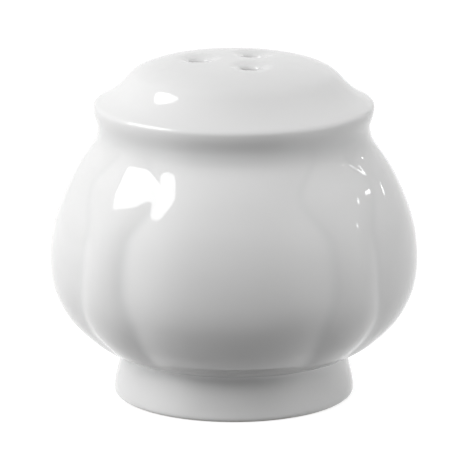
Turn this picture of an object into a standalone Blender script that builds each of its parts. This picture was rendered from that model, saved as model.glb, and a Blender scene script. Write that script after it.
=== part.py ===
"""Glazed porcelain salt shaker: one lobed casting on a round foot, closed below by a soft stopper.

Units are metres and +Z is up. The origin is on the table, under the middle of the foot.
"""

import math

import bmesh
import bpy
from mathutils import Matrix, Vector
from mathutils.geometry import interpolate_bezier

# Heights of the casting: all of it, then foot and belly from the table up, dome and neck from the top down
HEIGHT = 0.0613
FOOT_HEIGHT = 0.0083
BELLY_ABOVE_FOOT = 0.0170
DOME_HEIGHT = 0.0086
RIM_ABOVE_NECK = 0.0035

# Radii of the casting's outside, measured on the crests of the wide lobes
FOOT_RADIUS = 0.02164
FOOT_WAIST_RADIUS = 0.02047
FOOT_JOINT_RADIUS = 0.0227
UNDERSIDE_RADIUS = 0.02637
TURN_RADIUS = 0.0312
BELLY_RADIUS = 0.0330
SHOULDER_RADIUS = 0.0289
COVE_RADIUS = 0.0272
NECK_RADIUS = 0.02417
RIM_RADIUS = 0.0251
DOME_FLANK_RADIUS = 0.01948
CROWN_RADIUS = 0.0172

# Heights of the outline's points between those levels, the shares being of the way from belly to neck
FOOT_FLARE_HEIGHT = 0.0010
FOOT_WAIST_DROP = 0.0006
FOOT_JOINT_RISE = 0.0006
UNDERSIDE_RISE = 0.0030
TURN_BELOW_BELLY = 0.0082
SHOULDER_SHARE = 0.623
COVE_SHARE = 0.744
RIM_EDGE_INSET = 0.0008
RIM_EDGE_RISE = 0.0011
DOME_FLANK_DROP = 0.0038
CROWN_DROP = 0.0019

# Directions in which the outline runs at those points, in degrees below outward
CROWN_SLOPE = 26.0
DOME_FLANK_SLOPE = 53.0
RIM_EDGE_SLOPE = 26.0
COVE_SLOPE = 53.5
SHOULDER_SLOPE = 64.0
TURN_SLOPE = 116.5
UNDERSIDE_SLOPE = 138.0
FOOT_JOINT_SLOPE = 152.0

# Lobes of the bowl: wide ones with a rib between each two, parted by rounded creases
LOBE_COUNT = 4
BELLY_CREASE_ANGLE = math.radians(35.5)
COVE_CREASE_ANGLE = math.radians(26.5)
TURN_CREASE_ANGLE = math.radians(32.5)
CREASE_DEPTH = 0.00125
CREASE_ROUNDING = 0.00065
RIB_DROP = 0.0002
LOBE_FULLNESS = 2.6
RIB_FULLNESS = 1.7
LOBE_FADE_ABOVE_NECK = 0.0020
LOBE_FADE_LENGTH = 0.0180
LOBE_END_LENGTH = 0.0035

# Wall, floor and foot
WALL = 0.0032
FLOOR_RADIUS = 0.0145
BASE_THICKNESS = 0.0030
RECESS_DEPTH = 0.0065
RECESS_FILLET = 0.0010
FOOT_WALL = 0.0029
STANDING_OUTER_EDGE = 0.0016
STANDING_INNER_EDGE = 0.0007
FILL_HOLE_RADIUS = 0.0095
FILL_HOLE_EDGE = 0.0005

# Pour holes, pierced by hand and so not quite evenly round the crown
POUR_HOLE_ANGLES = (math.radians(172.0), math.radians(-59.0), math.radians(57.0))
POUR_HOLE_CIRCLE = 0.0062
POUR_BORE_RADIUS = 0.0015
POUR_LIP = 0.0011
POUR_LIP_START = math.radians(20.0)

# Stopper
FIT_CLEARANCE = 0.0003
FLANGE_OVERLAP = 0.0024
FLANGE_THICKNESS = 0.0014
FLANGE_EDGE = 0.0004
PLUG_REACH = 0.0042
PLUG_WALL = 0.0012
PLUG_END_THICKNESS = 0.0012
PLUG_TAPER = 0.0005
PLUG_EDGE = 0.0006
SEAL_COUNT = 2
SEAL_HEIGHT = 0.0005
SEAL_WIDTH = 0.0014
SEAL_PITCH = 0.0023
SEAL_ABOVE_FLANGE = 0.0019
TAB_REACH = 0.0024
TAB_HALF_ANGLE = math.radians(26.0)
TAB_FLAT_SHARE = 0.5

# Fineness of the meshes
STEPS_PER_WIDE_HALF = 7
STEPS_PER_RIB_HALF = 3
STOPPER_STEPS = 48
POUR_HOLE_STEPS = 20
POUR_LIP_POINTS = 4
CURVE_REACH = 0.37
CROWN_REACH = 0.52
CROWN_EDGE_REACH = 0.23
ROUND_SHARE = 0.55
SHARP_EDGE = math.radians(35.0)
WELD_DISTANCE = 0.000001

# Levels and sizes that follow from the ones above
BELLY_Z = FOOT_HEIGHT + BELLY_ABOVE_FOOT
RIM_Z = HEIGHT - DOME_HEIGHT
NECK_Z = RIM_Z - RIM_ABOVE_NECK
SHOULDER_Z = BELLY_Z + SHOULDER_SHARE * (NECK_Z - BELLY_Z)
COVE_Z = BELLY_Z + COVE_SHARE * (NECK_Z - BELLY_Z)
FLOOR_Z = RECESS_DEPTH + BASE_THICKNESS
RECESS_RADIUS = FOOT_WAIST_RADIUS - FOOT_WALL
FLANGE_TOP_Z = RECESS_DEPTH - FIT_CLEARANCE


def clear_scene():
    """Removes every object of the opened scene."""
    for found in list(bpy.data.objects):
        bpy.data.objects.remove(found)


def glaze(name, colour, roughness):
    """A Principled material of one colour."""
    material = bpy.data.materials.new(name)
    material.use_nodes = True
    shader = material.node_tree.nodes["Principled BSDF"]
    shader.inputs["Base Color"].default_value = (*colour, 1.0)
    shader.inputs["Roughness"].default_value = roughness
    shader.inputs["Metallic"].default_value = 0.0
    return material


def heading(degrees_down):
    """Unit vector in the (radius, height) plane that runs so many degrees below outward."""
    angle = math.radians(degrees_down)
    return Vector((math.cos(angle), -math.sin(angle)))


def curve(start, start_down, end, end_down, points, leave=CURVE_REACH, arrive=CURVE_REACH):
    """Points of a smooth run from start, which is left out, to end, with the direction given at both."""
    start = Vector(start)
    end = Vector(end)
    chord = (end - start).length
    out_handle = start + heading(start_down) * chord * leave
    in_handle = end - heading(end_down) * chord * arrive
    return [tuple(p[:2]) for p in interpolate_bezier(start, out_handle, in_handle, end, points + 1)[1:]]


def corner(start, middle, end, points):
    """Points of a rounded corner from start, which is kept, to end, about its sharp middle point."""
    start, middle, end = Vector(start), Vector(middle), Vector(end)
    first = start.lerp(middle, ROUND_SHARE)
    second = end.lerp(middle, ROUND_SHARE)
    return [tuple(p[:2]) for p in interpolate_bezier(start, first, second, end, points + 1)]


def wall_stations():
    """Places on the outside, crown to underside: radius, height, direction, points outside and inside."""
    return [
        (CROWN_RADIUS, HEIGHT - CROWN_DROP, CROWN_SLOPE, 4, 2),
        (DOME_FLANK_RADIUS, HEIGHT - DOME_FLANK_DROP, DOME_FLANK_SLOPE, 2, 0),
        (RIM_RADIUS - RIM_EDGE_INSET, RIM_Z + RIM_EDGE_RISE, RIM_EDGE_SLOPE, 3, 0),
        (RIM_RADIUS, RIM_Z, 90.0, 3, 0),
        (NECK_RADIUS, NECK_Z, 90.0, 2, 3),
        (COVE_RADIUS, COVE_Z, COVE_SLOPE, 2, 0),
        (SHOULDER_RADIUS, SHOULDER_Z, SHOULDER_SLOPE, 2, 3),
        (BELLY_RADIUS, BELLY_Z, 90.0, 4, 3),
        (TURN_RADIUS, BELLY_Z - TURN_BELOW_BELLY, TURN_SLOPE, 3, 2),
        (UNDERSIDE_RADIUS, FOOT_HEIGHT + UNDERSIDE_RISE, UNDERSIDE_SLOPE, 3, 2),
    ]


def outside_outline():
    """The casting's outside, from the middle of its crown down to the standing ring."""
    foot_stations = [
        (FOOT_JOINT_RADIUS, FOOT_HEIGHT + FOOT_JOINT_RISE, FOOT_JOINT_SLOPE, 2, 0),
        (FOOT_WAIST_RADIUS, FOOT_HEIGHT - FOOT_WAIST_DROP, 90.0, 3, 0),
        (FOOT_RADIUS, FOOT_FLARE_HEIGHT, 90.0, 2, 0),
        (FOOT_RADIUS - STANDING_OUTER_EDGE, 0.0, 180.0, 3, 0),
    ]
    outline = [(0.0, HEIGHT)]
    before = 0.0
    leave, arrive = CROWN_REACH, CROWN_EDGE_REACH
    for radius, height, down, points, _ in wall_stations() + foot_stations:
        outline += curve(outline[-1], before, (radius, height), down, points, leave, arrive)
        before = down
        leave = arrive = CURVE_REACH
    return outline


def foot_outline():
    """From the standing ring up into the foot's recess and through the filling hole to the floor inside."""
    hole, edge = FILL_HOLE_RADIUS, FILL_HOLE_EDGE
    wall, ceiling = RECESS_RADIUS, RECESS_DEPTH
    return [
        *corner((wall + STANDING_INNER_EDGE, 0.0), (wall, 0.0), (wall, STANDING_INNER_EDGE), 2),
        *corner((wall, ceiling - RECESS_FILLET), (wall, ceiling), (wall - RECESS_FILLET, ceiling), 2),
        *corner((hole + edge, ceiling), (hole, ceiling), (hole, ceiling + edge), 1),
        *corner((hole, FLOOR_Z - edge), (hole, FLOOR_Z), (hole + edge, FLOOR_Z), 1),
    ]


def inside_outline():
    """The salt chamber from the middle of its ceiling to its floor, one wall inside the main stations."""
    outline = [(0.0, HEIGHT - WALL)]
    before = 0.0
    for radius, height, down, _, points in wall_stations():
        if points:
            along = heading(down)
            inner = (radius + along.y * WALL, height - along.x * WALL)
            outline += curve(outline[-1], before, inner, down, points)
            before = down
    return outline + curve(outline[-1], before, (FLOOR_RADIUS, FLOOR_Z), 180.0, 2)


def turned(outline, steps):
    """A mesh spun about Z from an outline that starts and ends on the axis."""
    mesh = bmesh.new()
    points = [mesh.verts.new((radius, 0.0, height)) for radius, height in outline]
    edges = [mesh.edges.new(pair) for pair in zip(points, points[1:])]
    bmesh.ops.spin(
        mesh,
        geom=points + edges,
        cent=(0.0, 0.0, 0.0),
        axis=(0.0, 0.0, 1.0),
        angle=2.0 * math.pi,
        steps=steps,
        use_merge=True,
    )
    bmesh.ops.remove_doubles(mesh, verts=mesh.verts, dist=WELD_DISTANCE)
    bmesh.ops.recalc_face_normals(mesh, faces=mesh.faces)
    return mesh


def add_object(name, mesh, material):
    """Makes a smooth-shaded object of a finished bmesh."""
    data = bpy.data.meshes.new(name)
    mesh.to_mesh(data)
    mesh.free()
    data.shade_smooth()
    data.set_sharp_from_angle(angle=SHARP_EDGE)
    if material is not None:
        data.materials.append(material)
    made = bpy.data.objects.new(name, data)
    bpy.context.scene.collection.objects.link(made)
    return made


def ease(share):
    """Runs smoothly from 0 to 1 as share does."""
    share = min(1.0, max(0.0, share))
    return share * share * (3.0 - 2.0 * share)


def lobe_strength(height):
    """How far the lobes stand out at a height: hardly at the neck, not at the foot, fully on the belly."""
    from_neck = (NECK_Z + LOBE_FADE_ABOVE_NECK - height) / LOBE_FADE_LENGTH
    from_foot = (height - FOOT_HEIGHT) / LOBE_END_LENGTH
    return ease(from_neck) * ease(from_foot)


def crease_angle(height):
    """Angle from a wide lobe's crest to its creases: widest at the belly, narrowest from the cove up."""
    up = max(0.0, (height - BELLY_Z) / (COVE_Z - BELLY_Z))
    down = (BELLY_Z - height) / TURN_BELOW_BELLY
    above = ease(up * up) * (COVE_CREASE_ANGLE - BELLY_CREASE_ANGLE)
    below = ease(down) * (TURN_CREASE_ANGLE - BELLY_CREASE_ANGLE)
    return BELLY_CREASE_ANGLE + above + below


def lobe_drop(from_crest, crease):
    """Depth below the wide lobe's crest: the curves of lobe and rib, which meet in a rounded crease."""
    half_sector = math.pi / LOBE_COUNT
    across_rib = max(0.0, half_sector - from_crest) / (half_sector - crease)
    lobe = CREASE_DEPTH * (from_crest / crease) ** LOBE_FULLNESS
    rib = RIB_DROP + (CREASE_DEPTH - RIB_DROP) * across_rib**RIB_FULLNESS
    return (lobe + rib - math.hypot(lobe - rib, CREASE_ROUNDING)) / 2.0


def crest_angle(even_angle, crease):
    """Moves evenly spaced angles so that a row of points lies in every crease."""
    half_sector = math.pi / LOBE_COUNT
    even_crease = half_sector * STEPS_PER_WIDE_HALF / (STEPS_PER_WIDE_HALF + STEPS_PER_RIB_HALF)
    if even_angle <= even_crease:
        return even_angle * crease / even_crease
    past = (even_angle - even_crease) / (half_sector - even_crease)
    return crease + past * (half_sector - crease)


def press_lobes(mesh):
    """Draws the turned wall in between its crests, inside and outside, and leaves floor and hole round."""
    sector = 2.0 * math.pi / LOBE_COUNT
    for point in mesh.verts:
        radius = math.hypot(point.co.x, point.co.y)
        if radius < WELD_DISTANCE:
            continue
        angle = math.atan2(point.co.y, point.co.x)
        crest = round(angle / sector) * sector
        side = math.copysign(1.0, angle - crest)
        crease = crease_angle(point.co.z)
        from_crest = crest_angle(abs(angle - crest), crease)
        if radius > FLOOR_RADIUS:
            radius -= lobe_drop(from_crest, crease) * lobe_strength(point.co.z)
        turned_to = crest + side * from_crest
        point.co.x = radius * math.cos(turned_to)
        point.co.y = radius * math.sin(turned_to)


def crown_at(outline, radius):
    """Height and slope angle of the crown's outline at a radius."""
    for inner, outer in zip(outline, outline[1:]):
        if inner[0] <= radius <= outer[0]:
            share = (radius - inner[0]) / (outer[0] - inner[0])
            fall = math.atan2(inner[1] - outer[1], outer[0] - inner[0])
            return inner[1] + share * (outer[1] - inner[1]), fall
    raise ValueError("the pour holes lie outside the crown")


def pour_hole_cutter(name):
    """A turned cutter for one hole: a bore with a rounded lip, its mouth at the local origin."""
    mouth = POUR_BORE_RADIUS + POUR_LIP
    above = POUR_LIP
    below = 2.0 * WALL
    lip = []
    for step in range(POUR_LIP_POINTS + 1):
        turn = POUR_LIP_START + (math.pi / 2.0 - POUR_LIP_START) * step / POUR_LIP_POINTS
        lip.append((mouth - POUR_LIP * math.sin(turn), POUR_LIP * (math.cos(turn) - 1.0)))
    flare = lip[0][0] + (above - lip[0][1]) / math.tan(POUR_LIP_START)
    outline = [(0.0, above), (flare, above), *lip, (POUR_BORE_RADIUS, -below), (0.0, -below)]
    cutter = add_object(name, turned(outline, POUR_HOLE_STEPS), None)
    cutter.hide_render = True
    cutter.display_type = "WIRE"
    return cutter


def pierce(body, outline):
    """Cuts the ring of pour holes square to the crown's surface."""
    height, fall = crown_at(outline, POUR_HOLE_CIRCLE)
    for number, turn in enumerate(POUR_HOLE_ANGLES, start=1):
        cutter = pour_hole_cutter(f"pour_hole_cutter_{number}")
        place = Matrix.Translation((POUR_HOLE_CIRCLE, 0.0, height))
        cutter.matrix_world = Matrix.Rotation(turn, 4, "Z") @ place @ Matrix.Rotation(fall, 4, "Y")
        cut = body.modifiers.new(f"pour_hole_{number}", "BOOLEAN")
        cut.operation = "DIFFERENCE"
        cut.solver = "EXACT"
        cut.object = cutter


def build_body(material):
    """The porcelain casting: one turned wall from crown to foot and back, then its lobes and pour holes."""
    outside = outside_outline()
    steps = 2 * LOBE_COUNT * (STEPS_PER_WIDE_HALF + STEPS_PER_RIB_HALF)
    mesh = turned(outside + foot_outline() + inside_outline()[::-1], steps)
    press_lobes(mesh)
    body = add_object("shaker_body", mesh, material)
    pierce(body, outside)
    return body


def stopper_outline():
    """The plug's section from its closed end over ribs and flange to its cup, from the flange's top up."""
    wall = FILL_HOLE_RADIUS - FIT_CLEARANCE - SEAL_HEIGHT
    flange = FILL_HOLE_RADIUS + FLANGE_OVERLAP
    end = FIT_CLEARANCE + BASE_THICKNESS + PLUG_REACH
    tip = wall - PLUG_TAPER
    cup_end = end - PLUG_END_THICKNESS
    outline = [(0.0, end)]
    outline += corner((tip - PLUG_EDGE, end), (tip, end), (tip, end - PLUG_EDGE), 3)
    for index in reversed(range(SEAL_COUNT)):
        middle = SEAL_ABOVE_FLANGE + index * SEAL_PITCH
        half = SEAL_WIDTH / 2.0
        outline += [
            (wall, middle + half),
            (wall + SEAL_HEIGHT, middle + half / 2.0),
            (wall + SEAL_HEIGHT, middle - half / 2.0),
            (wall, middle - half),
        ]
    outline.append((wall, 0.0))
    outline += corner((flange - FLANGE_EDGE, 0.0), (flange, 0.0), (flange, -FLANGE_EDGE), 2)
    low = -FLANGE_THICKNESS
    outline += corner((flange, low + FLANGE_EDGE), (flange, low), (flange - FLANGE_EDGE, low), 2)
    mouth = wall - PLUG_WALL
    inner_tip = tip - PLUG_WALL
    outline += corner((mouth + FLANGE_EDGE, low), (mouth, low), (mouth, low + FLANGE_EDGE), 2)
    inner_edge = inner_tip - PLUG_EDGE
    outline += corner((inner_tip, cup_end - PLUG_EDGE), (inner_tip, cup_end), (inner_edge, cup_end), 2)
    outline.append((0.0, cup_end))
    return outline


def draw_out_tab(mesh):
    """Swells the flange's rim over a short arc into a tab for the fingertip."""
    rim = FILL_HOLE_RADIUS + FLANGE_OVERLAP
    seat = FILL_HOLE_RADIUS
    for point in mesh.verts:
        radius = math.hypot(point.co.x, point.co.y)
        if radius <= seat or point.co.z > WELD_DISTANCE:
            continue
        off_middle = abs(math.atan2(point.co.x, -point.co.y)) / TAB_HALF_ANGLE
        swell = ease((1.0 - off_middle) / (1.0 - TAB_FLAT_SHARE)) * (radius - seat) / (rim - seat)
        grown = 1.0 + TAB_REACH * swell / radius
        point.co.x *= grown
        point.co.y *= grown


def build_stopper(material):
    """The soft filling stopper, its origin on the axis it is pulled along, at the flange's upper face."""
    mesh = turned(stopper_outline(), STOPPER_STEPS)
    draw_out_tab(mesh)
    stopper = add_object("stopper", mesh, material)
    stopper.location = (0.0, 0.0, FLANGE_TOP_Z)
    return stopper


def build():
    """Makes the two pieces of the shaker."""
    clear_scene()
    build_body(glaze("white_glaze", (0.83, 0.83, 0.82), 0.08))
    build_stopper(glaze("soft_plastic", (0.74, 0.74, 0.71), 0.45))


build()
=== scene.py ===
"""White porcelain salt shaker on a pale floor: the glazed casting and the soft stopper under it."""

import math

import bmesh
import bpy
from mathutils import Matrix, Vector
from mathutils.geometry import interpolate_bezier


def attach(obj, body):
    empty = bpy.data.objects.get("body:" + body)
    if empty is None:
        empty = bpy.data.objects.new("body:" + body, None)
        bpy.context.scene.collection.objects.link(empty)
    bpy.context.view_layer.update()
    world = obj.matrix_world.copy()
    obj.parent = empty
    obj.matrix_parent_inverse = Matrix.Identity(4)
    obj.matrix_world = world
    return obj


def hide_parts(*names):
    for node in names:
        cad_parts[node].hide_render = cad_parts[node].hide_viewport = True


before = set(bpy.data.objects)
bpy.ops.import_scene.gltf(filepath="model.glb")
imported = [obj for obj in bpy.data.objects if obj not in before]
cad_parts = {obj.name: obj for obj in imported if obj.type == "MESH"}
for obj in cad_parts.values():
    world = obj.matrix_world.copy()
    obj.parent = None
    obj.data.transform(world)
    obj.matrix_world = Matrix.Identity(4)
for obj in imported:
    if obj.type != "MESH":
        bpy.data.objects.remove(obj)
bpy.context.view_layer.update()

# Casting: levels from the table up
FOOT_TOP = 0.0083
TURN = 0.0171
BELLY = 0.0253
SHOULDER = 0.0402
COVE = 0.0431
NECK = 0.0490
RIM = 0.0527
CROWN = 0.0613

# Casting: places on the outside as radius, height and degrees below outward, then rings up to there
OUTSIDE = (
    (0.0172, CROWN - 0.0019, 25.5, 14),
    (0.0195, CROWN - 0.0038, 47.5, 5),
    (0.0243, RIM + 0.0011, 26.0, 6),
    (0.0251, RIM, 90.0, 5),
    (0.0243, NECK, 90.0, 6),
    (0.0272, COVE, 57.5, 6),
    (0.0289, SHOULDER, 64.0, 3),
    (0.0330, BELLY, 90.0, 9),
    (0.0312, TURN, 116.5, 6),
    (0.0264, FOOT_TOP + 0.0030, 138.0, 6),
    (0.0227, FOOT_TOP + 0.0006, 152.0, 4),
    (0.0205, FOOT_TOP - 0.0006, 90.0, 6),
    (0.0216, 0.0010, 90.0, 5),
    (0.0200, 0.0, 180.0, 5),
)
CROWN_REACHES = (0.52, 0.23)
CURVE_REACH = 0.37
CORNER_REACH = 0.55

# Casting: foot, filling hole and salt chamber
STANDING_MIDDLE = 0.0190
STANDING_INSIDE = 0.0183
RECESS_RADIUS = 0.0176
RECESS_CEILING = 0.0065
RECESS_FILLET = 0.0010
HOLE_RADIUS = 0.0095
HOLE_EDGE = 0.0005
CHAMBER_FLOOR = 0.0095
FLOOR_RADIUS = 0.0145
WALL = 0.0032
INSIDE_RINGS = (3, 0, 0, 0, 4, 0, 3, 3, 3, 2)

# Casting: four wide lobes with a rib between each two, parted by rounded creases
LOBES = 4
TURN_CREASE = math.radians(32.5)
BELLY_CREASE = math.radians(35.5)
ARCH_CREASE = math.radians(27.3)
ARCH_START = 0.0332
ARCH = 0.0415
ARCH_END = 0.0472
CREASE_DEPTH = 0.00130
ARCH_DEPTH_SHARE = 0.80
CREASE_ROUNDING = 0.52
ARCH_ROUNDING = 0.10
RIB_SHARE = 0.12
ARCH_RIB_SHARE = 0.80
FLAT_RIBS = 0.0472
LOBE_FULLNESS = 2.75
RIB_FULLNESS = 2.0
LOBES_TOP = 0.0509
LOBES_FADE = 0.0082
LOBES_END = 0.0035
WIDE_STEPS = 16
RIB_STEPS = 8

# Casting: three pour holes, each in a soft dimple
HOLE_TURNS = (172.0, -59.0, 57.0)
HOLE_CIRCLE = 0.0062
BORE_RADIUS = 0.0015
BORE_LIP = 0.0010
BORE_LIP_START = math.radians(12.0)
DIMPLE_RADIUS = 0.0044
DIMPLE_DEPTH = 0.0008
BORE_STEPS = 64
LIP_STEPS = 8
SHARP_EDGE = math.radians(50.0)
SLIVER = 0.000001

# Glaze: where it pools and is darkened there as painted shade, and how wide
CREASE_SHADE_HALF = math.radians(3.5)
FOOT_SHADE_HEIGHT = FOOT_TOP - 0.0008
FOOT_SHADE_HALF = 0.0022
NECK_SHADE_HALF = 0.0025

# Glaze: colours, grains per metre, relief and roughness
GLAZE_THICK = (0.845, 0.845, 0.845)
GLAZE_THIN = (0.875, 0.875, 0.872)
# The pooled colour is darker: painted shade in the creases, under the rim and at the foot.
POOLED_GLAZE_SHADE = (0.80, 0.805, 0.805)
POOLED_SHADE_SHARE = 0.6
GLAZE_IOR = 1.52
GLAZE_ROUGHNESS = (0.035, 0.075)
WAVES_PER_METRE = 75.0
WAVE_DEPTH = 0.00006
PEEL_PER_METRE = 650.0
PEEL_DEPTH = 0.0000012

# Biscuit: the bare standing ring
BISCUIT_DARK = (0.66, 0.64, 0.60)
BISCUIT_PALE = (0.80, 0.78, 0.74)
BISCUIT_HEIGHT = 0.0003
BISCUIT_RAGGED = 0.0006
BISCUIT_ROUGHNESS = 0.7
SAND_PER_METRE = 5200.0
SAND_DEPTH = 0.00002

# Stopper: heights from the flange's upper face
FLANGE_TOP = 0.0062
FLANGE_RADIUS = 0.0119
FLANGE_THICKNESS = 0.0014
FLANGE_EDGE = 0.0004
PLUG_RADIUS = 0.0087
PLUG_TIP = 0.0082
PLUG_END = 0.0075
PLUG_EDGE = 0.0006
PLUG_WALL = 0.0012
SEALS = (0.0042, 0.0019)
SEAL_HEIGHT = 0.0005
SEAL_HALF = 0.0007
GATE_RADIUS = 0.0008
GATE_TOP_RADIUS = 0.00056
GATE_HEIGHT = 0.0003
TAB_REACH = 0.0024
TAB_HALF = math.radians(26.0)
STOPPER_STEPS = 128
STOPPER_SHARP_EDGE = math.radians(40.0)

# Milky plastic: colours, grains per metre, relief and roughness
MILK_DARK = (0.70, 0.70, 0.665)
MILK_PALE = (0.77, 0.77, 0.74)
MILK_ROUGHNESS = (0.36, 0.52)
CLOUDS_PER_METRE = 180.0
MOULD_GRAINS_PER_METRE = 4200.0
MOULD_GRAIN_DEPTH = 0.000008
MILK_GLOW = 0.15
MILK_GLOW_REACH = 0.002

# Noise: the span of its values that counts
NOISE_SPAN = (0.3, 0.7)

# Studio: lamp panels as name, place, width, height and watts
SHAKER_MIDDLE = Vector((0.0, 0.0, 0.035))
PANELS = (
    ("top_panel", (0.0, 0.0, 1.25), 1.2, 1.2, 3.6),
    ("left_panel", (-1.2, 0.0, 0.45), 1.2, 0.9, 3.0),
    ("front_panel", (-0.3, -0.86, 1.06), 1.4, 0.9, 12.5),
    ("back_panel", (0.0, 1.15, 0.55), 1.2, 0.9, 4.6),
    ("low_left_panel", (-0.7, 0.0, 0.08), 0.6, 0.16, 1.95),
    ("low_right_panel", (0.7, 0.0, 0.08), 0.6, 0.16, 1.6),
)

# Studio: the floor paper
PAPER_RADIUS = 0.7
PAPER_STEPS = 96
PAPER_GREY = (0.35, 0.35, 0.35, 1.0)
PAPER_GLOW = 0.88

# Studio: the softbox face that the glaze mirrors
FACE_PLACE = Vector((-0.477, -0.038, 0.460))
FACE_WIDTH = 0.40
FACE_HEIGHT = 0.32
FACE_CORNER = 0.08
FACE_CORNER_STEPS = 8
FACE_ROLL = math.radians(17.0)
FACE_GLOW = 6.0

# Studio: small bulbs at the right that the glaze mirrors, as degrees of turn and rise, and their size
BULBS = ((9.5, 18.5, 0.020), (22.0, 20.0, 0.020), (35.5, 14.0, 0.020))
BULB_GLOW = 10.0
BULB_DISTANCE = 1.0
BULBS_SEEN_FROM = Vector((0.022, -0.017, 0.043))

# Studio: the dark cloth in front that the glaze mirrors, with its run as distance out and height
CLOTH_TURN = math.radians(2.0)
CLOTH_HALF = math.radians(60.0)
CLOTH_SOFT = math.radians(36.0)
CLOTH_COVER = 0.55
CLOTH_NEAR = 0.029
CLOTH_NEAR_FADE = 0.016
CLOTH_LIFT = 0.0004
CLOTH_TOP = 0.75
CLOTH_FADE = 0.30
CLOTH_RUN = (
    (CLOTH_NEAR, CLOTH_LIFT),
    (0.85, CLOTH_LIFT),
    (0.96, 0.02),
    (1.0, 0.08),
    (1.0, CLOTH_TOP),
)
CLOTH_STEPS = 48

# Camera
VIEW_DISTANCE = 0.8
VIEW_PITCH = math.radians(14.0)
VIEW_TURN = math.radians(2.0)
VIEW_AIM = Vector((0.0002, 0.0, 0.0290))
VIEW_LENS = 341.4
SENSOR_WIDTH = 36.0
NEAREST_SEEN = 0.01
FARTHEST_SEEN = 20.0


def heading(degrees_down):
    """Unit vector in the radius and height plane that runs so many degrees below outward."""
    angle = math.radians(degrees_down)
    return Vector((math.cos(angle), -math.sin(angle)))


def curve(start, start_down, end, end_down, rings, reaches=(CURVE_REACH, CURVE_REACH)):
    """Points of a smooth run from start, which is left out, to end."""
    start, end = Vector(start), Vector(end)
    chord = (end - start).length
    leave = start + heading(start_down) * chord * reaches[0]
    arrive = end - heading(end_down) * chord * reaches[1]
    return [tuple(p[:2]) for p in interpolate_bezier(start, leave, arrive, end, rings + 1)[1:]]


def corner(start, middle, end, rings):
    """Points of a rounded corner from start, which is kept, to end."""
    start, middle, end = Vector(start), Vector(middle), Vector(end)
    leave, arrive = start.lerp(middle, CORNER_REACH), end.lerp(middle, CORNER_REACH)
    return [tuple(p[:2]) for p in interpolate_bezier(start, leave, arrive, end, rings + 1)]


def ease(share):
    """Runs smoothly from 0 to 1 as share does."""
    share = min(1.0, max(0.0, share))
    return share * share * (3.0 - 2.0 * share)


def turned(outline, steps):
    """A mesh spun about Z from an outline of radius and height that starts and ends on the axis."""
    mesh = bmesh.new()
    points = [mesh.verts.new((radius, 0.0, height)) for radius, height in outline]
    edges = [mesh.edges.new(pair) for pair in zip(points, points[1:])]
    bmesh.ops.spin(
        mesh,
        geom=points + edges,
        cent=(0.0, 0.0, 0.0),
        axis=(0.0, 0.0, 1.0),
        angle=2.0 * math.pi,
        steps=steps,
        use_merge=True,
    )
    bmesh.ops.remove_doubles(mesh, verts=mesh.verts, dist=SLIVER)
    bmesh.ops.recalc_face_normals(mesh, faces=mesh.faces)
    return mesh


def piece_of(mesh, name, material=None):
    """A smooth-shaded object of a finished bmesh."""
    data = bpy.data.meshes.new(name)
    mesh.to_mesh(data)
    mesh.free()
    data.shade_smooth()
    if material is not None:
        data.materials.append(material)
    piece = bpy.data.objects.new(name, data)
    bpy.context.scene.collection.objects.link(piece)
    return piece


def settle(piece):
    """Applies the piece's modifiers to its mesh."""
    bpy.context.view_layer.update()
    made = piece.evaluated_get(bpy.context.evaluated_depsgraph_get())
    mesh = bpy.data.meshes.new_from_object(made)
    mesh.name = piece.name
    piece.modifiers.clear()
    piece.data = mesh


def outside_outline():
    """The casting's outside, from the middle of its crown down to the standing ring."""
    outline = [(0.0, CROWN)]
    before, reaches = 0.0, CROWN_REACHES
    for radius, height, down, rings in OUTSIDE:
        outline += curve(outline[-1], before, (radius, height), down, rings, reaches)
        before, reaches = down, (CURVE_REACH, CURVE_REACH)
    return outline


def foot_outline():
    """From the standing ring up into the foot's recess and through the filling hole."""
    wall, ceiling, hole, floor = RECESS_RADIUS, RECESS_CEILING, HOLE_RADIUS, CHAMBER_FLOOR
    edge = STANDING_INSIDE - wall
    return [
        (STANDING_MIDDLE, 0.0),
        *corner((STANDING_INSIDE, 0.0), (wall, 0.0), (wall, edge), 3),
        *corner((wall, ceiling - RECESS_FILLET), (wall, ceiling), (wall - RECESS_FILLET, ceiling), 3),
        *corner((hole + HOLE_EDGE, ceiling), (hole, ceiling), (hole, ceiling + HOLE_EDGE), 2),
        *corner((hole, floor - HOLE_EDGE), (hole, floor), (hole + HOLE_EDGE, floor), 2),
    ]


def chamber_outline():
    """The salt chamber's wall from the middle of its ceiling down to its floor."""
    outline = [(0.0, CROWN - WALL)]
    before = 0.0
    for (radius, height, down, _), rings in zip(OUTSIDE, INSIDE_RINGS):
        if rings:
            along = heading(down)
            inner = (radius + along.y * WALL, height - along.x * WALL)
            outline += curve(outline[-1], before, inner, down, rings)
            before = down
    return outline + curve(outline[-1], before, (FLOOR_RADIUS, CHAMBER_FLOOR), 180.0, 3)


def between(low, high, share):
    """The value a share of the way from low to high."""
    return low + share * (high - low)


def lobe_strength(height):
    """How far the lobes stand out at a height: most on the belly, none at the neck and at the foot."""
    kept = between(1.0, ARCH_DEPTH_SHARE, ease((height - BELLY) / (ARCH - BELLY)))
    return kept * ease((LOBES_TOP - height) / LOBES_FADE) * ease((height - FOOT_TOP) / LOBES_END)


def crease_at(height):
    """Angle from a wide crest to its creases: widest at the belly, narrowest at the arch."""
    closing = ease((height - ARCH_START) / (ARCH - ARCH_START))
    narrow = closing * ease((ARCH_END - height) / (ARCH_END - ARCH))
    low = ease((BELLY - height) / (BELLY - TURN))
    return BELLY_CREASE + narrow * (ARCH_CREASE - BELLY_CREASE) + low * (TURN_CREASE - BELLY_CREASE)


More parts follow.
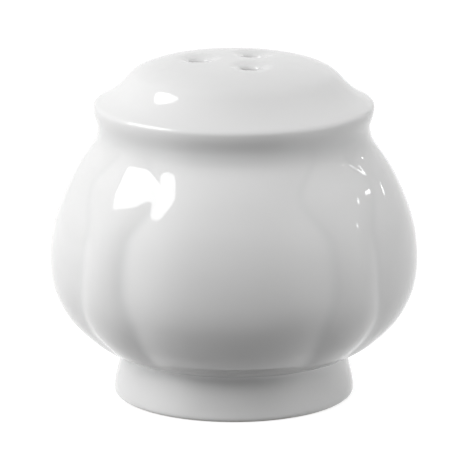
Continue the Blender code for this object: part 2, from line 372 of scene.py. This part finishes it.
def lobe_drop(away, height):
    """Depth below a wide lobe's crest: the curves of lobe and rib, which meet in a rounded crease."""
    half = math.pi / LOBES
    crease = crease_at(height)
    upper = ease((height - ARCH_START) / (FLAT_RIBS - ARCH_START))
    lobe = (away / crease) ** LOBE_FULLNESS
    across_rib = max(0.0, half - away) / (half - crease)
    rib = between(across_rib**RIB_FULLNESS, 1.0, between(RIB_SHARE, ARCH_RIB_SHARE, upper))
    rounding = between(CREASE_ROUNDING, ARCH_ROUNDING, upper)
    return CREASE_DEPTH * (lobe + rib - math.hypot(lobe - rib, rounding)) / 2.0


def from_crest_of(angle):
    """The nearest wide crest, the side of it and the angle from it."""
    sector = 2.0 * math.pi / LOBES
    crest = round(angle / sector) * sector
    return crest, math.copysign(1.0, angle - crest), abs(angle - crest)


def press_lobes(mesh):
    """Draws the turned wall in between its crests, with a row of points in each crease."""
    half = math.pi / LOBES
    even_crease = half * WIDE_STEPS / (WIDE_STEPS + RIB_STEPS)
    for point in mesh.verts:
        radius = math.hypot(point.co.x, point.co.y)
        crease = crease_at(point.co.z)
        crest, side, away = from_crest_of(math.atan2(point.co.y, point.co.x))
        if away <= even_crease:
            away *= crease / even_crease
        else:
            away = crease + (away - even_crease) / (half - even_crease) * (half - crease)
        if radius > FLOOR_RADIUS:
            radius -= lobe_drop(away, point.co.z) * lobe_strength(point.co.z)
        point.co.x = radius * math.cos(crest + side * away)
        point.co.y = radius * math.sin(crest + side * away)


def crown_at(radius):
    """Height and slope angle of the crown at a radius."""
    outline = outside_outline()
    for inner, outer in zip(outline, outline[1:]):
        if inner[0] <= radius <= outer[0]:
            share = (radius - inner[0]) / (outer[0] - inner[0])
            fall = math.atan2(inner[1] - outer[1], outer[0] - inner[0])
            return inner[1] + share * (outer[1] - inner[1]), fall
    raise ValueError("the pour holes lie outside the crown")


def hole_places():
    """Where each pour hole's mouth lies, as a matrix whose Z runs out of the crown."""
    height, fall = crown_at(HOLE_CIRCLE)
    tilt = Matrix.Translation((HOLE_CIRCLE, 0.0, height)) @ Matrix.Rotation(fall, 4, "Y")
    return [Matrix.Rotation(math.radians(turn), 4, "Z") @ tilt for turn in HOLE_TURNS]


def dimple_drop(away):
    """Depth of a pour hole's dimple at a distance from the hole's axis."""
    return DIMPLE_DEPTH * (1.0 - ease(away / DIMPLE_RADIUS))


def press_dimples(piece):
    """Sinks the crown softly round each pour hole."""
    for place in hole_places():
        into = place.inverted()
        out = place.to_3x3() @ Vector((0.0, 0.0, 1.0))
        for point in piece.data.vertices:
            if point.co.z > CROWN - WALL / 2.0:
                local = into @ point.co
                point.co -= out * dimple_drop(math.hypot(local.x, local.y))


def bore_cutters():
    """One hidden cutter that holds all the bores with their rounded lips."""
    mouth = BORE_RADIUS + BORE_LIP
    lip = []
    for step in range(LIP_STEPS + 1):
        turn = between(BORE_LIP_START, math.pi / 2.0, step / LIP_STEPS)
        lip.append((mouth - BORE_LIP * math.sin(turn), BORE_LIP * (math.cos(turn) - 1.0)))
    above = 2.0 * BORE_LIP
    flare = lip[0][0] + (above - lip[0][1]) / math.tan(BORE_LIP_START)
    outline = [(0.0, above), (flare, above), *lip, (BORE_RADIUS, -2.0 * WALL), (0.0, -2.0 * WALL)]
    sunk = Matrix.Translation((0.0, 0.0, -dimple_drop(lip[0][0])))
    cutters = bmesh.new()
    for place in hole_places():
        one = turned(outline, BORE_STEPS)
        one.transform(place @ sunk)
        data = bpy.data.meshes.new("bore")
        one.to_mesh(data)
        one.free()
        cutters.from_mesh(data)
        bpy.data.meshes.remove(data)
    return piece_of(cutters, "bore_cutters")


def clear_slivers(piece):
    """Takes out the faces without area that a cut can leave."""
    mesh = bmesh.new()
    mesh.from_mesh(piece.data)
    bmesh.ops.dissolve_degenerate(mesh, dist=SLIVER, edges=mesh.edges)
    mesh.to_mesh(piece.data)
    mesh.free()


def mark_pooled_shade(piece):
    """Stores on each point how thick the glaze has run, which is darkened as painted shade: in the
    creases, under the rim and at the foot.
    """
    pooled_shade = piece.data.attributes.new("pooled_shade", "FLOAT", "POINT")
    for point, store in zip(piece.data.vertices, pooled_shade.data):
        x, y, z = point.co
        _, _, away = from_crest_of(math.atan2(y, x))
        crease = ease(1.0 - abs(away - crease_at(z)) / CREASE_SHADE_HALF) * lobe_strength(z)
        foot = ease(1.0 - abs(z - FOOT_SHADE_HEIGHT) / FOOT_SHADE_HALF)
        under_rim = ease(1.0 - abs(z - NECK) / NECK_SHADE_HALF)
        store.value = max(crease, foot, under_rim)


def build_casting(material):
    """The glazed casting: turned, lobed, smoothed, dimpled and pierced."""
    mesh = turned(
        outside_outline() + foot_outline() + chamber_outline()[::-1],
        2 * LOBES * (WIDE_STEPS + RIB_STEPS),
    )
    press_lobes(mesh)
    casting = piece_of(mesh, "porcelain_casting", material)
    smooth = casting.modifiers.new("smooth", "SUBSURF")
    smooth.levels = smooth.render_levels = 1
    settle(casting)
    press_dimples(casting)
    cutters = bore_cutters()
    pierce = casting.modifiers.new("pierce", "BOOLEAN")
    pierce.operation = "DIFFERENCE"
    pierce.solver = "EXACT"
    pierce.object = cutters
    settle(casting)
    bpy.data.objects.remove(cutters)
    clear_slivers(casting)
    casting.data.set_sharp_from_angle(angle=SHARP_EDGE)
    mark_pooled_shade(casting)
    return casting


def stopper_outline():
    """The stopper's section from its closed end over ribs and flange to its hollow cup."""
    tip, end, soft = PLUG_TIP, PLUG_END, PLUG_EDGE
    outline = [(0.0, end), *corner((tip - soft, end), (tip, end), (tip, end - soft), 6)]
    for middle in SEALS:
        top, bottom = middle + SEAL_HALF, middle - SEAL_HALF
        ridge = PLUG_RADIUS + SEAL_HEIGHT
        outline += corner((PLUG_RADIUS, top), (ridge, top), (ridge, middle), 4)
        outline += corner((ridge, middle), (ridge, bottom), (PLUG_RADIUS, bottom), 4)[1:]
    outline.append((PLUG_RADIUS, 0.0))
    edge, rim, low, mouth = FLANGE_EDGE, FLANGE_RADIUS, -FLANGE_THICKNESS, PLUG_RADIUS - PLUG_WALL
    outline += corner((rim - edge, 0.0), (rim, 0.0), (rim, -edge), 5)
    outline += corner((rim, low + edge), (rim, low), (rim - edge, low), 5)
    outline += corner((mouth + edge, low), (mouth, low), (mouth, low + edge), 5)
    tip, end = tip - PLUG_WALL, end - PLUG_WALL
    outline += corner((tip, end - soft), (tip, end), (tip - soft, end), 5)
    return outline + [(GATE_RADIUS, end), (GATE_TOP_RADIUS, end - GATE_HEIGHT), (0.0, end - GATE_HEIGHT)]


def draw_out_tab(mesh):
    """Swells the flange's rim over a short arc into a tab for the fingertip."""
    for point in mesh.verts:
        radius = math.hypot(point.co.x, point.co.y)
        if radius <= HOLE_RADIUS or point.co.z > SLIVER:
            continue
        off_middle = abs(math.atan2(point.co.x, -point.co.y)) / TAB_HALF
        share = (radius - HOLE_RADIUS) / (FLANGE_RADIUS - HOLE_RADIUS)
        grown = 1.0 + TAB_REACH * ease(2.0 - 2.0 * off_middle) * share / radius
        point.co.x *= grown
        point.co.y *= grown


def build_stopper(material):
    """The soft stopper in the filling hole."""
    mesh = turned(stopper_outline(), STOPPER_STEPS)
    draw_out_tab(mesh)
    bmesh.ops.translate(mesh, verts=mesh.verts, vec=(0.0, 0.0, FLANGE_TOP))
    stopper = piece_of(mesh, "soft_stopper", material)
    stopper.data.set_sharp_from_angle(angle=STOPPER_SHARP_EDGE)
    return stopper


def new_material(name):
    """An empty node material: its tree, its shader and its Object coordinates."""
    material = bpy.data.materials.new(name)
    material.use_nodes = True
    tree = material.node_tree
    place = tree.nodes.new("ShaderNodeTexCoord").outputs["Object"]
    return material, tree, tree.nodes["Principled BSDF"], place


def noise(tree, place, per_metre, detail):
    """Noise with so many grains per metre of the object."""
    node = tree.nodes.new("ShaderNodeTexNoise")
    node.inputs["Scale"].default_value = per_metre
    node.inputs["Detail"].default_value = detail
    tree.links.new(place, node.inputs["Vector"])
    return node.outputs["Fac"]


def spread(tree, value, span, made):
    """Maps a value's span smoothly to another, each from its start to its end."""
    node = tree.nodes.new("ShaderNodeMapRange")
    node.interpolation_type = "SMOOTHSTEP"
    for name, number in zip(("From Min", "From Max", "To Min", "To Max"), (*span, *made)):
        node.inputs[name].default_value = number
    tree.links.new(value, node.inputs["Value"])
    return node.outputs["Result"]


def sums(tree, operation, first, second):
    """One arithmetic step on two values, either of which may be a plain number."""
    node = tree.nodes.new("ShaderNodeMath")
    node.operation = operation
    for socket, value in zip(node.inputs, (first, second)):
        if isinstance(value, (int, float)):
            socket.default_value = value
        else:
            tree.links.new(value, socket)
    return node.outputs["Value"]


def blend(tree, share, first, second):
    """A colour between two, each a colour or another node's output."""
    node = tree.nodes.new("ShaderNodeMix")
    node.data_type = "RGBA"
    tree.links.new(share, node.inputs["Factor"])
    sockets = [s for s in node.inputs if s.type == "RGBA"]
    for socket, value in zip(sockets, (first, second)):
        if isinstance(value, tuple):
            socket.default_value = (*value, 1.0)
        else:
            tree.links.new(value, socket)
    return next(s for s in node.outputs if s.type == "RGBA")


def relief(tree, height, depth, under=None):
    """A bump of so many metres' depth, on top of another one."""
    node = tree.nodes.new("ShaderNodeBump")
    node.inputs["Strength"].default_value = 1.0
    node.inputs["Distance"].default_value = depth
    tree.links.new(height, node.inputs["Height"])
    if under is not None:
        tree.links.new(under, node.inputs["Normal"])
    return node.outputs["Normal"]


def glazed_porcelain():
    """Clear glaze over white porcelain, thicker and darkened as painted shade where it has run together,
    bare on the standing ring.
    """
    material, tree, shader, place = new_material("glazed_porcelain")
    pooled_shade = tree.nodes.new("ShaderNodeAttribute")
    pooled_shade.attribute_name = "pooled_shade"
    broad = noise(tree, place, WAVES_PER_METRE, 2.0)
    fine = noise(tree, place, PEEL_PER_METRE, 3.0)
    grain = noise(tree, place, SAND_PER_METRE, 4.0)
    drift = blend(tree, broad, GLAZE_THICK, GLAZE_THIN)
    # Painted shade: the glaze turns darker where it pools, in the creases, under the rim and at the foot.
    glaze = blend(tree, sums(tree, "MULTIPLY", pooled_shade.outputs["Fac"], POOLED_SHADE_SHARE), drift, POOLED_GLAZE_SHADE)
    height = tree.nodes.new("ShaderNodeSeparateXYZ")
    tree.links.new(place, height.inputs["Vector"])
    ragged = sums(tree, "ADD", height.outputs["Z"], sums(tree, "MULTIPLY", fine, -BISCUIT_RAGGED))
    bare = spread(tree, ragged, (0.0, BISCUIT_HEIGHT), (1.0, 0.0))
    biscuit = blend(tree, grain, BISCUIT_DARK, BISCUIT_PALE)
    tree.links.new(blend(tree, bare, glaze, biscuit), shader.inputs["Base Color"])
    gloss = spread(tree, fine, NOISE_SPAN, GLAZE_ROUGHNESS)
    rough = sums(tree, "MAXIMUM", gloss, sums(tree, "MULTIPLY", bare, BISCUIT_ROUGHNESS))
    tree.links.new(rough, shader.inputs["Roughness"])
    waves = relief(tree, broad, WAVE_DEPTH)
    peel = relief(tree, fine, PEEL_DEPTH, waves)
    sandy = relief(tree, sums(tree, "MULTIPLY", grain, bare), SAND_DEPTH, peel)
    tree.links.new(sandy, shader.inputs["Normal"])
    shader.inputs["IOR"].default_value = GLAZE_IOR
    return material


def milky_plastic():
    """Soft milky plastic with the fine spark-worn grain of its mould."""
    material, tree, shader, place = new_material("milky_plastic")
    clouds = noise(tree, place, CLOUDS_PER_METRE, 2.0)
    grain = noise(tree, place, MOULD_GRAINS_PER_METRE, 3.0)
    tree.links.new(blend(tree, clouds, MILK_DARK, MILK_PALE), shader.inputs["Base Color"])
    tree.links.new(spread(tree, grain, NOISE_SPAN, MILK_ROUGHNESS), shader.inputs["Roughness"])
    tree.links.new(relief(tree, grain, MOULD_GRAIN_DEPTH), shader.inputs["Normal"])
    shader.inputs["Subsurface Weight"].default_value = MILK_GLOW
    shader.inputs["Subsurface Scale"].default_value = MILK_GLOW_REACH
    return material


def white_to_the_eye(tree):
    """1 for what the camera sees directly, in gloss or through glass, else 0."""
    path = tree.nodes.new("ShaderNodeLightPath")
    seen = sums(tree, "MAXIMUM", path.outputs["Is Camera Ray"], path.outputs["Is Glossy Ray"])
    return sums(tree, "MAXIMUM", seen, path.outputs["Is Transmission Ray"])


def floor_paper():
    """Pale paper that reads white, keeps the shadow and is clear from below."""
    material = bpy.data.materials.new("floor_paper")
    material.use_nodes = True
    tree = material.node_tree
    tree.nodes.clear()
    sheet = tree.nodes.new("ShaderNodeBsdfDiffuse")
    sheet.inputs["Color"].default_value = PAPER_GREY
    bright = tree.nodes.new("ShaderNodeEmission")
    bright.inputs["Strength"].default_value = PAPER_GLOW
    shaded = tree.nodes.new("ShaderNodeAddShader")
    tree.links.new(sheet.outputs[0], shaded.inputs[0])
    tree.links.new(bright.outputs[0], shaded.inputs[1])
    seen = tree.nodes.new("ShaderNodeMixShader")
    tree.links.new(white_to_the_eye(tree), seen.inputs[0])
    tree.links.new(sheet.outputs[0], seen.inputs[1])
    tree.links.new(shaded.outputs[0], seen.inputs[2])
    clear = tree.nodes.new("ShaderNodeBsdfTransparent")
    side = tree.nodes.new("ShaderNodeNewGeometry")
    both = tree.nodes.new("ShaderNodeMixShader")
    tree.links.new(side.outputs["Backfacing"], both.inputs[0])
    tree.links.new(seen.outputs[0], both.inputs[1])
    tree.links.new(clear.outputs[0], both.inputs[2])
    output = tree.nodes.new("ShaderNodeOutputMaterial")
    tree.links.new(both.outputs[0], output.inputs["Surface"])
    return material


def glowing(name, strength):
    """A plain white glow."""
    material = bpy.data.materials.new(name)
    material.use_nodes = True
    tree = material.node_tree
    tree.nodes.clear()
    glow = tree.nodes.new("ShaderNodeEmission")
    glow.inputs["Strength"].default_value = strength
    output = tree.nodes.new("ShaderNodeOutputMaterial")
    tree.links.new(glow.outputs[0], output.inputs["Surface"])
    return material


def dark_cloth():
    """Black cloth that thins out towards its two ends, its near edge and its top."""
    material = bpy.data.materials.new("dark_cloth")
    material.use_nodes = True
    tree = material.node_tree
    tree.nodes.clear()
    place = tree.nodes.new("ShaderNodeSeparateXYZ")
    tree.links.new(tree.nodes.new("ShaderNodeTexCoord").outputs["Object"], place.inputs["Vector"])
    x, y, z = place.outputs
    turn = sums(tree, "ARCTAN2", x, sums(tree, "MULTIPLY", y, -1.0))
    off_middle = sums(tree, "ABSOLUTE", sums(tree, "SUBTRACT", turn, CLOTH_TURN), 0.0)
    squares = sums(tree, "ADD", sums(tree, "MULTIPLY", x, x), sums(tree, "MULTIPLY", y, y))
    out = sums(tree, "SQRT", squares, 0.0)
    ends = spread(tree, off_middle, (CLOTH_HALF - CLOTH_SOFT, CLOTH_HALF), (CLOTH_COVER, 0.0))
    top = spread(tree, z, (CLOTH_TOP - CLOTH_FADE, CLOTH_TOP), (1.0, 0.0))
    near = spread(tree, out, (CLOTH_NEAR, CLOTH_NEAR + CLOTH_NEAR_FADE), (0.0, 1.0))
    cover = sums(tree, "MULTIPLY", sums(tree, "MULTIPLY", ends, top), near)
    black = tree.nodes.new("ShaderNodeBsdfDiffuse")
    black.inputs["Color"].default_value = (0.0, 0.0, 0.0, 1.0)
    clear = tree.nodes.new("ShaderNodeBsdfTransparent")
    seen = tree.nodes.new("ShaderNodeMixShader")
    tree.links.new(cover, seen.inputs[0])
    tree.links.new(clear.outputs[0], seen.inputs[1])
    tree.links.new(black.outputs[0], seen.inputs[2])
    output = tree.nodes.new("ShaderNodeOutputMaterial")
    tree.links.new(seen.outputs[0], output.inputs["Surface"])
    return material


def lay_floor():
    """A round pale sheet under the shaker."""
    mesh = bmesh.new()
    bmesh.ops.create_circle(mesh, cap_ends=True, radius=PAPER_RADIUS, segments=PAPER_STEPS)
    piece_of(mesh, "studio_floor", floor_paper())


def hide_card(card):
    """Leaves a card of the studio to be seen in the glaze, and not by the camera."""
    card.visible_camera = False
    card.visible_transmission = False
    card.visible_shadow = False


def hang_softbox_face():
    """The bright face of the key softbox."""
    mesh = bmesh.new()
    bmesh.ops.create_grid(mesh, x_segments=1, y_segments=1, size=0.5)
    bmesh.ops.scale(mesh, verts=mesh.verts, vec=(FACE_WIDTH, FACE_HEIGHT, 1.0))
    bmesh.ops.bevel(
        mesh,
        geom=mesh.verts,
        offset=FACE_CORNER,
        segments=FACE_CORNER_STEPS,
        profile=0.5,
        material=-1,
        affect="VERTICES",
    )
    roll = Matrix.Rotation(FACE_ROLL, 4, "Z")
    turn = facing(FACE_PLACE, SHAKER_MIDDLE).to_matrix().to_4x4()
    bmesh.ops.transform(mesh, verts=mesh.verts, matrix=Matrix.Translation(FACE_PLACE) @ turn @ roll)
    face = piece_of(mesh, "softbox_face", glowing("softbox_glow", FACE_GLOW))
    face.visible_diffuse = False
    hide_card(face)


def hang_bulbs():
    """A few small bulbs at the right, which sparkle in the folds of the glaze."""
    mesh = bmesh.new()
    for turn, rise, radius in BULBS:
        turn, rise = math.radians(turn), math.radians(rise)
        way = Vector((math.cos(rise) * math.cos(turn), math.cos(rise) * math.sin(turn), math.sin(rise)))
        place = Matrix.Translation(BULBS_SEEN_FROM + way * BULB_DISTANCE)
        bmesh.ops.create_icosphere(mesh, subdivisions=2, radius=radius, matrix=place)
    bulbs = piece_of(mesh, "bulbs", glowing("bulb_glow", BULB_GLOW))
    bulbs.visible_diffuse = False
    hide_card(bulbs)


def hang_dark_cloth():
    """The dark cloth in front of the shaker, which runs over the table and rises behind the camera."""
    mesh = bmesh.new()
    points = [mesh.verts.new((0.0, -out, height)) for out, height in CLOTH_RUN]
    edges = [mesh.edges.new(pair) for pair in zip(points, points[1:])]
    to_end = Matrix.Rotation(CLOTH_TURN - CLOTH_HALF, 3, "Z")
    bmesh.ops.rotate(mesh, verts=points, cent=(0.0, 0.0, 0.0), matrix=to_end)
    bmesh.ops.spin(
        mesh,
        geom=points + edges,
        cent=(0.0, 0.0, 0.0),
        axis=(0.0, 0.0, 1.0),
        angle=2.0 * CLOTH_HALF,
        steps=CLOTH_STEPS,
    )
    hide_card(piece_of(mesh, "dark_cloth", dark_cloth()))


def facing(position, target):
    """A turn that points an object's -Z from a position to a target."""
    return (target - position).to_track_quat("-Z", "Y")


def hang_panel(name, position, width, height, watts):
    """A soft lamp panel that points at the shaker and isn't mirrored in it."""
    lamp = bpy.data.lights.new(name, "AREA")
    lamp.shape = "RECTANGLE"
    lamp.size, lamp.size_y = width, height
    lamp.energy = watts
    box = bpy.data.objects.new(name, lamp)
    box.location = position
    box.rotation_mode = "QUATERNION"
    box.rotation_quaternion = facing(Vector(position), SHAKER_MIDDLE)
    box.visible_camera = False
    box.visible_glossy = False
    bpy.context.scene.collection.objects.link(box)


def whiten_room():
    """A room that is white to the eye and sheds no light of its own."""
    world = bpy.data.worlds.new("studio")
    world.use_nodes = True
    tree = world.node_tree
    air = tree.nodes["Background"]
    air.inputs["Color"].default_value = (1.0, 1.0, 1.0, 1.0)
    tree.links.new(white_to_the_eye(tree), air.inputs["Strength"])
    bpy.context.scene.world = world


def set_camera():
    """The camera of the photograph: a little above, from the front."""
    data = bpy.data.cameras.new("camera")
    data.lens = VIEW_LENS
    data.sensor_width = SENSOR_WIDTH
    data.clip_start = NEAREST_SEEN
    data.clip_end = FARTHEST_SEEN
    camera = bpy.data.objects.new("camera", data)
    level, rise = VIEW_DISTANCE * math.cos(VIEW_PITCH), VIEW_DISTANCE * math.sin(VIEW_PITCH)
    away = Vector((level * math.sin(VIEW_TURN), -level * math.cos(VIEW_TURN), rise))
    camera.location = VIEW_AIM + away
    camera.rotation_mode = "QUATERNION"
    camera.rotation_quaternion = (-away).to_track_quat("-Z", "Y")
    bpy.context.scene.collection.objects.link(camera)
    bpy.context.scene.camera = camera


bpy.context.scene.view_settings.view_transform = "Standard"

casting = build_casting(glazed_porcelain())
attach(casting, "shaker")
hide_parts("shaker_body")

stopper = build_stopper(milky_plastic())
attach(stopper, "stopper")
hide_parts("stopper")

lay_floor()
whiten_room()
for panel in PANELS:
    hang_panel(*panel)
hang_softbox_face()
hang_bulbs()
hang_dark_cloth()
set_camera()
